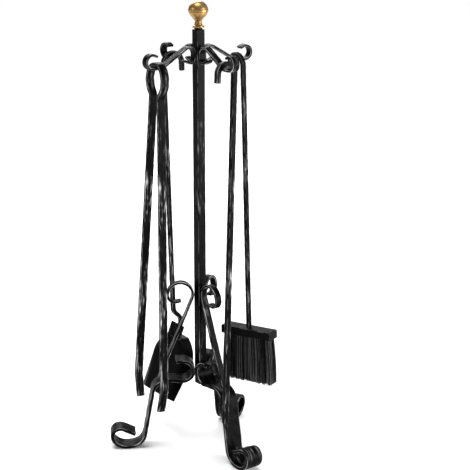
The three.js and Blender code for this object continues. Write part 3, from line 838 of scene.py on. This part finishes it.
rivets = [middle_of("shovel_rivet_lower"), middle_of("shovel_rivet_upper")]
pan_up = (rivets[1] - rivets[0]).normalized()
copy = merged_copy("shovel_pan")
widest = {}
for face in copy.faces:
    key = tuple(round(x, 2) for x in face.normal)
    total, normal = widest.get(key, (0, face.normal.copy()))
    widest[key] = (total + face.calc_area(), normal)
pan_out = max(widest.values(), key=lambda found: found[0])[1].normalized()
pan_across = pan_up.cross(pan_out).normalized()
pan_points = np.array([v.co[:] for v in copy.verts])
copy.free()


def reach_of(axis):
    reach = pan_points @ np.array(axis)
    return reach.min(), reach.max()


tab_length = 16 * mm
tab_width = 36 * mm
sheet = 1.6 * mm
pan_rim = reach_of(pan_across)
pan_long = reach_of(pan_up)
pan_length = pan_long[1] - pan_long[0] - tab_length
pan_origin = (pan_across * sum(pan_rim) / 2 + pan_up * pan_long[0] + pan_out * reach_of(pan_out)[1])
shoulder = pan_rim[1] - pan_rim[0]
print("pan", round(pan_length / mm, 1), "mm long,", round(shoulder / mm, 1), "mm across")

# %% [markdown]
# The net has one row of points for each place along the rim, from the left end of the mouth round the
# back to the right end, and each row runs from the pan's middle line out over the floor and up the wing.

# %% Pan
mouth = 92 * mm
shoulder_slope = 38 * mm
mouth_depth, back_depth = 5 * mm, 15 * mm
flare, back_flare = 14 * mm, 7 * mm
crease = 0.22  # share of a wing's width over which it bends up
straight, curved, closing = 22, 16, 8  # steps along the side, round the shoulder and along the back


def half_outline(front_half, wide_half, neck_half, side, back):
    """Half of an outline, from the mouth to the neck: a straight side and then the curved shoulder."""
    widening = wide_half - front_half
    points = [(front_half + widening * i / straight, side * i / straight) for i in range(straight)]
    for i in range(curved + 1):
        t = i / curved
        bend = (wide_half * 0.96, side + (back - side) * 0.6)
        points.append(tuple(
            (1 - t) ** 2 * a + 2 * t * (1 - t) * b + t * t * c
            for a, b, c in zip((wide_half, side), bend, (neck_half, back))
        ))
    return points + [(neck_half * (1 - i / closing), back) for i in range(1, closing + 1)]


def soft_rise(t):
    """0 before a wing begins, t well inside it, and a smooth bend in between."""
    if t < -crease:
        return 0
    return t if t > crease else (t + crease) ** 2 / (4 * crease)


side = pan_length - shoulder_slope
neck = tab_width / 2
floor_side, floor_back = side - back_flare, pan_length - back_flare
floor_half = half_outline(mouth / 2 - flare, shoulder / 2 - flare, neck, floor_side, floor_back)
rim_half = half_outline(mouth / 2, shoulder / 2, neck + sheet, side, pan_length)
shares = [-1 + i / 9 for i in range(9)] + [-0.35, -0.22, -0.11, 0, 0.11, 0.22, 0.4, 0.6, 0.8, 1.0]
shares = sorted(set(round(s, 3) for s in shares))


def pan_skin():
    """The net's points in the pan's own axes: across, up, and out of the hollow."""
    rows = []
    halves = [(1, floor_half, rim_half), (-1, floor_half[-2::-1], rim_half[-2::-1])]
    for sign, floor_edge, rim_edge in halves:
        for (fx, fy), (rx, ry) in zip(floor_edge, rim_edge):
            depth = mouth_depth + (back_depth - mouth_depth) * ry / pan_length
            row = []
            for share in shares:
                if share <= 0:
                    spine = min(fy, side * 0.85)
                    x, y = fx * (1 + share), spine + (fy - spine) * (1 + share)
                else:
                    x, y = fx + (rx - fx) * share, fy + (ry - fy) * share
                row.append(Vector((sign * x, y, -depth * soft_rise(share))))
            rows.append(row)
    return rows


rows = pan_skin()
build = bmesh.new()
gap_layer = build.verts.layers.float.new("edge_gap")
grid = [[build.verts.new(p) for p in row] for row in rows]
for i in range(len(grid) - 1):
    for j in range(len(shares) - 1):
        build.faces.new((grid[i][j], grid[i + 1][j], grid[i + 1][j + 1], grid[i][j + 1]))
bmesh.ops.remove_doubles(build, verts=build.verts, dist=0.02 * mm)
bmesh.ops.recalc_face_normals(build, faces=build.faces)
if sum(f.normal.z for f in build.faces) < 0:
    bmesh.ops.reverse_faces(build, faces=build.faces)
build.normal_update()
outer = list(build.verts)
rim_edges = [e for e in build.edges if e.is_boundary]
rim_points = np.array([v.co[:] for e in rim_edges for v in e.verts])
for v in outer:
    v[gap_layer] = float(np.linalg.norm(rim_points - np.array(v.co[:]), axis=1).min())
inner = {v: build.verts.new(v.co - v.normal * sheet) for v in outer}
for v, twin in inner.items():
    twin[gap_layer] = v[gap_layer]
build.faces.index_update()
outer_faces = len(build.faces)
for face in list(build.faces):
    build.faces.new([inner[v] for v in reversed(face.verts)])
build.faces.index_update()
for edge in rim_edges:
    loop = edge.link_loops[0] if edge.link_loops[0].face.index < outer_faces else edge.link_loops[-1]
    a, b = loop.vert, loop.link_loop_next.vert
    build.faces.new((b, a, inner[a], inner[b]))
mesh = bpy.data.meshes.new("pan")
build.to_mesh(mesh)
build.free()
print("pan net:", len(mesh.vertices), "points")

# %% [markdown]
# The tab is the tongue of the same sheet that the shaft lies on. It's made as a rounded plate; so is the
# block of the brush later on, and so one helper makes both: a box of evenly spaced points whose corners
# are drawn in to a radius.

# %% Rounded plates and blocks


def rounded_box(name, size, radius, step, material):
    """A box about the origin with rounded edges and corners, its sides cut into small cells."""
    half = Vector(size) / 2
    core = Vector([max(h - radius, 0) for h in half])
    build = bmesh.new()
    places = []
    for h in half:
        inside = max(1, round(2 * (h - radius) / step))
        edge = [radius * (1 - math.cos(math.radians(a))) for a in (0, 22, 45, 67)]
        low = [-h + e for e in edge]
        middle = [(-h + radius) + 2 * (h - radius) * i / inside for i in range(inside + 1)]
        places.append(low + middle + [-x for x in reversed(low)])
    made = {}

    def point(i, j, k):
        if (i, j, k) not in made:
            p = Vector((places[0][i], places[1][j], places[2][k]))
            near = Vector([max(-c, min(c, x)) for c, x in zip(core, p)])
            away = p - near
            made[i, j, k] = build.verts.new(near + away.normalized() * radius if away.length > 0 else p)
        return made[i, j, k]

    counts = [len(p) for p in places]
    for axis in range(3):
        u, v = (axis + 1) % 3, (axis + 2) % 3
        for end in (0, counts[axis] - 1):
            for a in range(counts[u] - 1):
                for b in range(counts[v] - 1):
                    corners = []
                    for da, db in ((0, 0), (1, 0), (1, 1), (0, 1)):
                        index = [0, 0, 0]
                        index[axis], index[u], index[v] = end, a + da, b + db
                        corners.append(point(*index))
                    build.faces.new(corners if end else reversed(corners))
    bmesh.ops.remove_doubles(build, verts=build.verts, dist=0.001 * mm)
    mesh = bpy.data.meshes.new(name)
    build.to_mesh(mesh)
    build.free()
    mesh.materials.append(material)
    mesh.shade_smooth()
    return mesh


def box_gap(mesh, size):
    """How far each point of a box lies from its nearest edge line."""
    points = np.array([v.co[:] for v in mesh.vertices])
    inward = np.sort(np.array(size) / 2 - np.abs(points), axis=1)
    return np.maximum(inward[:, 1], 0)


def joined(name, meshes):
    """Several meshes as one; their stored values and their finish stay with them."""
    build = bmesh.new()
    for part in meshes:
        build.from_mesh(part)
    mesh = meshes[0].copy()
    build.to_mesh(mesh)
    build.free()
    mesh.name = name
    return mesh


tab_size = (tab_width, tab_length + back_flare + 1 * mm, sheet * 0.96)
tab = rounded_box("tab", tab_size, 0.5 * mm, 2.5 * mm, sheet_iron)
mark_places(tab, box_gap(tab, tab_size))
tab.transform(Matrix.Translation((0, pan_length + tab_length - tab_size[1] / 2, -sheet / 2)))
mesh.materials.append(sheet_iron)
mesh.shade_smooth()
mesh.set_sharp_from_angle(angle=math.radians(50))
gaps = np.array([g.value for g in mesh.attributes["edge_gap"].data])
mesh.attributes.remove(mesh.attributes["edge_gap"])
mark_places(mesh, gaps)
pan = joined("shovel_pan", [mesh, tab])
pan_turn = Matrix((*zip(pan_across, pan_up, pan_out, pan_origin), (0, 0, 0, 1)))
pan.transform(pan_turn)
place_piece("sheet_pan", pan, "black_iron", "shovel", "shovel_pan")

# %% [markdown]
# Two rivets hold shaft and tab together. Each is a short pin whose ends were hammered into domes.

# %% Rivets
for node, middle_point in zip(("shovel_rivet_lower", "shovel_rivet_upper"), rivets):
    copy = merged_copy(node)
    offsets = [v.co - middle_point for v in copy.verts]
    reach = np.array([offset.dot(pan_out) for offset in offsets])
    around = max((offset - pan_out * offset.dot(pan_out)).length for offset in offsets)
    copy.free()
    tall = (reach.max() - reach.min()) / 2
    dome, pin = 1.3 * mm, 1.5 * mm
    outline = [(0, -tall)] + [(r, -z) for r, z in arc((0, tall - dome), around, 84, 0, 6, dome / around)]
    outline += [(pin, -tall + dome), (pin, tall - dome)]
    outline += arc((0, tall - dome), around, 0, 84, 6, dome / around)
    mesh = turned_mesh(node, outline + [(0, tall)], 20, tool_iron, 50)
    mark_places(mesh, 1.2 * mm)
    mesh.transform(Matrix.Translation(middle_point) @ pan_out.to_track_quat("Z", "Y").to_matrix().to_4x4())
    place_piece("domed" + node.removeprefix("shovel"), mesh, "black_iron", "shovel", node)

# %% [markdown]
# The brush's block is wood under black paint. Paint on wood sinks into the grain and rubs off first along
# the edges, where the grey-brown wood begins to show. The grain runs with the block's length.

# %% Painted wood


def painted_wood():
    """Black paint on wood: its grain runs with the place along, and its edges have worn."""
    material, tree, shader = new_finish("black_paint")
    along, deep, high, gap = bar_places(tree)
    stretched = figure(tree, "MULTIPLY", along, 0.06)
    place = add(tree, "ShaderNodeCombineXYZ", {0: stretched, 1: deep, 2: high}).outputs[0]
    grain = noise(tree, place, 900.0, 4.0)
    round_place = add(tree, "ShaderNodeCombineXYZ", {0: along, 1: deep, 2: high}).outputs[0]
    patches = noise(tree, round_place, 110.0, 3.0)
    near = figure(tree, "SUBTRACT", 1, figure(tree, "DIVIDE", gap, 2 * mm), clamp=True)
    worn = figure(tree, "MULTIPLY", near, ramp(tree, patches, [(0.4, 0.0), (0.6, 1.0)]))
    chalk = figure(tree, "MULTIPLY", ramp(tree, grain, [(0.5, 0.0), (0.75, 1.0)]), 0.3)
    shade = figure(tree, "ADD", figure(tree, "MULTIPLY", worn, 0.8), chalk, clamp=True)
    tones = [(0.0, (0.001, 0.001, 0.0011)), (0.35, (0.006, 0.006, 0.006)), (1.0, (0.16, 0.15, 0.14))]
    colour = ramp(tree, shade, tones)
    tree.links.new(colour, shader.inputs["Base Color"])
    rough = figure(tree, "ADD", 0.42, figure(tree, "MULTIPLY", patches, 0.3))
    shader.inputs["IOR"].default_value = 1.15
    tree.links.new(rough, shader.inputs["Roughness"])
    relief_from(tree, shader, grain, 0.3, 0.3 * mm)
    return material


black_paint = painted_wood()

# %% [markdown]
# The block's own axes come from the plain block: the directions that its faces look along. The longest of
# the three is the way the grain runs.

# %% Brush block


def box_frame(node):
    """The middle, the sizes and the three directions of a plain block, longest first."""
    copy = merged_copy(node)
    points = np.array([v.co[:] for v in copy.verts])
    axes = [np.array(a) for a in main_axes(copy)]
    copy.free()
    spans = [np.ptp(points @ a) for a in axes]
    order = sorted(range(3), key=lambda i: -spans[i])
    axes = [axes[i] for i in order]
    reach = [points @ a for a in axes]
    middle_point = sum(a * (r.min() + r.max()) / 2 for a, r in zip(axes, reach))
    return middle_point, [spans[i] for i in order], axes


block_middle, block_spans, block_axes = box_frame("brush_block")
block_axes[2] = block_axes[2] * np.sign(block_axes[2][2])
block_axes[1] = np.cross(block_axes[2], block_axes[0])
block = rounded_box("block", block_spans, 1.6 * mm, 2.5 * mm, black_paint)
points = np.array([v.co[:] for v in block.vertices])
set_values(block, "along", points[:, 0])
across_grain = np.column_stack([points[:, 1], points[:, 2], np.zeros(len(points))])
set_values(block, "section", across_grain, "FLOAT_VECTOR")
set_values(block, "edge_gap", box_gap(block, block_spans))
block_turn = Matrix((*zip(*block_axes, block_middle), (0, 0, 0, 1)))
block.transform(block_turn)
place_piece("painted_block", block, "black_paint", "brush", "brush_block")
print("block", [round(s / mm, 1) for s in block_spans], "mm")

# %% [markdown]
# The bristles are coarse black fibre with dust on it. Each strand has a shade of its own, which it carries
# as a stored value, and its tip is a little paler. Fine lines run down every strand.

# %% Bristle material


def bristle_finish():
    """Dusty black fibre, paler towards the tips."""
    material, tree, shader = new_finish("bristle")
    shade = stored_number(tree, "shade")
    along = stored_number(tree, "along")
    place = add(tree, "ShaderNodeTexCoord").outputs["Object"]
    dust = noise(tree, place, 160.0, 3.0)
    tone = figure(tree, "ADD", figure(tree, "MULTIPLY", shade, 0.75), figure(tree, "MULTIPLY", dust, 0.25))
    tips = figure(tree, "MULTIPLY", figure(tree, "POWER", along, 3), 0.12)
    level = figure(tree, "ADD", tone, tips)
    tones = [(0.0, (0.0006, 0.0006, 0.0007)), (0.5, (0.003, 0.003, 0.0032)), (0.92, (0.14, 0.14, 0.14))]
    colour = ramp(tree, level, tones)
    tree.links.new(colour, shader.inputs["Base Color"])
    tree.links.new(figure(tree, "ADD", 0.38, figure(tree, "MULTIPLY", dust, 0.2)), shader.inputs["Roughness"])
    shader.inputs["IOR"].default_value = 1.15
    fibre = add(tree, "ShaderNodeMapping", {"Vector": place, "Scale": (1, 1, 0.1)}).outputs[0]
    lines = noise(tree, fibre, 3000.0, 1.0)
    relief_from(tree, shader, lines, 0.2, 0.1 * mm)
    return material


bristle = bristle_finish()

# %% [markdown]
# The bristles are set in bunches of some ninety strands. Each bunch is one run of the same node tree:
# strands are scattered over the bunch's top, drawn down to its foot with a curl of their own, and thinned
# to the tip. The brush swells below the block and draws in a little at its foot, and strands at a bunch's
# outside are shorter than those in its middle. The seed differs from bunch to bunch, so no two look alike.

# %% Bristle node tree


def bristle_tree():
    """The tree that fills one bunch with strands."""
    sizes = {"Top size": "Vector", "Foot size": "Vector", "Foot shift": "Vector"}
    sizes |= {"Length": "Float", "Radius": "Float"}
    looks = {"Strands": "Int", "Stray": "Float", "Ragged": "Float", "Seed": "Int", "Finish": "Material"}
    tree, given = geometry_tree("bristle_bunch", {**sizes, **looks})

    def chance(low, high, offset, kind="FLOAT_VECTOR"):
        seed = figure(tree, "ADD", given["Seed"], offset)
        made = add(tree, "FunctionNodeRandomValue", {"Seed": seed}, data_type=kind)
        ends = [s for s in made.inputs if s.name in ("Min", "Max") and s.enabled]
        ends[0].default_value, ends[1].default_value = low, high
        return next(s for s in made.outputs if s.enabled)

    spots = add(tree, "GeometryNodePoints", {"Count": given["Strands"]}).outputs[0]
    spots = store(tree, spots, "spot", chance((-0.5, -0.5, 0), (0.5, 0.5, 0), 1), "FLOAT_VECTOR")
    spots = store(tree, spots, "curl", chance((-1, -1, 0), (1, 1, 0), 2), "FLOAT_VECTOR")
    spots = store(tree, spots, "cut", chance(0.0, 1.0, 3, "FLOAT"))
    spots = store(tree, spots, "shade", chance(0.0, 1.0, 4, "FLOAT"))
    strand = add(tree, "GeometryNodeCurvePrimitiveLine", {"Start": (0, 0, 0), "End": (0, 0, -1)}).outputs[0]
    strand = add(tree, "GeometryNodeResampleCurve", {"Curve": strand, "Count": 6}).outputs["Curve"]
    strands = add(tree, "GeometryNodeInstanceOnPoints", {"Points": spots, "Instance": strand}).outputs[0]
    strands = add(tree, "GeometryNodeRealizeInstances", {"Geometry": strands}).outputs[0]

    def read(name, kind="FLOAT_VECTOR"):
        made = add(tree, "GeometryNodeInputNamedAttribute", {"Name": name}, data_type=kind)
        return next(s for s in made.outputs if s.enabled and s.name == "Attribute")

    down = add(tree, "GeometryNodeSplineParameter").outputs["Factor"]
    swell = figure(tree, "SINE", figure(tree, "MULTIPLY", down, 2.0))
    widths = {"Factor": swell, 4: given["Top size"], 5: given["Foot size"]}
    size = add(tree, "ShaderNodeMix", widths, data_type="VECTOR").outputs[1]
    spread = vector(tree, "MULTIPLY", read("spot"), size)
    shift = vector(tree, "SCALE", given["Foot shift"], swell)
    bend = figure(tree, "MULTIPLY", figure(tree, "POWER", down, 2), given["Stray"])
    curled = vector(tree, "SCALE", read("curl"), bend)
    outer = add(tree, "ShaderNodeVectorMath", {0: read("spot")}, operation="LENGTH").outputs["Value"]
    uneven = figure(tree, "POWER", read("cut", "FLOAT"), 2)
    loss = figure(tree, "ADD", uneven, figure(tree, "MULTIPLY", outer, 0.8))
    kept = figure(tree, "SUBTRACT", 1, figure(tree, "MULTIPLY", loss, given["Ragged"]))
    reached = figure(tree, "MULTIPLY", down, kept)
    drop = figure(tree, "MULTIPLY", reached, figure(tree, "MULTIPLY", given["Length"], -1))
    fall = add(tree, "ShaderNodeCombineXYZ", {2: drop}).outputs[0]
    spot = vector(tree, "ADD", vector(tree, "ADD", spread, shift), vector(tree, "ADD", curled, fall))
    strands = add(tree, "GeometryNodeSetPosition", {"Geometry": strands, "Position": spot}).outputs[0]
    strands = store(tree, strands, "along", down)
    tip = {"Value": down, "From Min": 0.6, "To Min": 1.0, "To Max": 0.45}
    thin = add(tree, "ShaderNodeMapRange", tip).outputs[0]
    strands = add(tree, "GeometryNodeSetCurveRadius", {"Curve": strands, "Radius": thin}).outputs["Curve"]
    ring = {"Resolution": 4, "Radius": given["Radius"]}
    ring = add(tree, "GeometryNodeCurvePrimitiveCircle", ring).outputs["Curve"]
    sweep = {"Curve": strands, "Profile Curve": ring, "Fill Caps": True}
    mesh = add(tree, "GeometryNodeCurveToMesh", sweep).outputs["Mesh"]
    return finish_tree(tree, mesh, given["Finish"])


bunch_tree = bristle_tree()

# %% [markdown]
# Each plain bunch is a block of eight corners. Four of them, nearest to the wood, give the bunch's top and
# the other four its foot, so the strands fill exactly the place that the plain bunch keeps free.

# %% Bristles
strand_count = 90
strand_radius = 0.42 * mm
stray = 0.9 * mm
ragged = 0.075
into_block = 0.8 * mm
total = 0
to_block = block_turn.inverted()

for number, name in enumerate(sorted(n for n in nodes if n.startswith("bristle_tuft"))):
    copy = merged_copy(name)
    corners = np.array([(to_block @ v.co)[:] for v in copy.verts])
    copy.free()
    order = corners[:, 2].argsort()
    foot_corners, top_corners = corners[order[:4]], corners[order[4:]]
    top, foot_middle = top_corners.mean(axis=0), foot_corners.mean(axis=0)
    inset = 2 * strand_radius
    top_size = np.append(np.ptp(top_corners, axis=0)[:2] - inset, 0)
    foot_size = np.append(np.ptp(foot_corners, axis=0)[:2] - inset, 0)
    shift = np.append((foot_middle - top)[:2], 0)
    vectors = {"Top size": top_size, "Foot size": foot_size, "Foot shift": shift}
    values = {label: tuple(map(float, given)) for label, given in vectors.items()}
    values |= {"Length": float(top[2] - foot_middle[2]) + into_block}
    values |= {"Radius": strand_radius, "Strands": strand_count}
    values |= {"Stray": stray, "Ragged": ragged, "Seed": 40 + 7 * number, "Finish": bristle}
    mesh = run_tree(bunch_tree, host_of(name + "_host", [(0, 0, 0)]), values)
    mesh.transform(block_turn @ Matrix.Translation((*top[:2], top[2] + into_block)))
    total += len(mesh.polygons)
    place_piece(name.replace("bristle_tuft", "bunch"), mesh, "bristle", "brush", name)
print("bristles:", total, "faces in all")
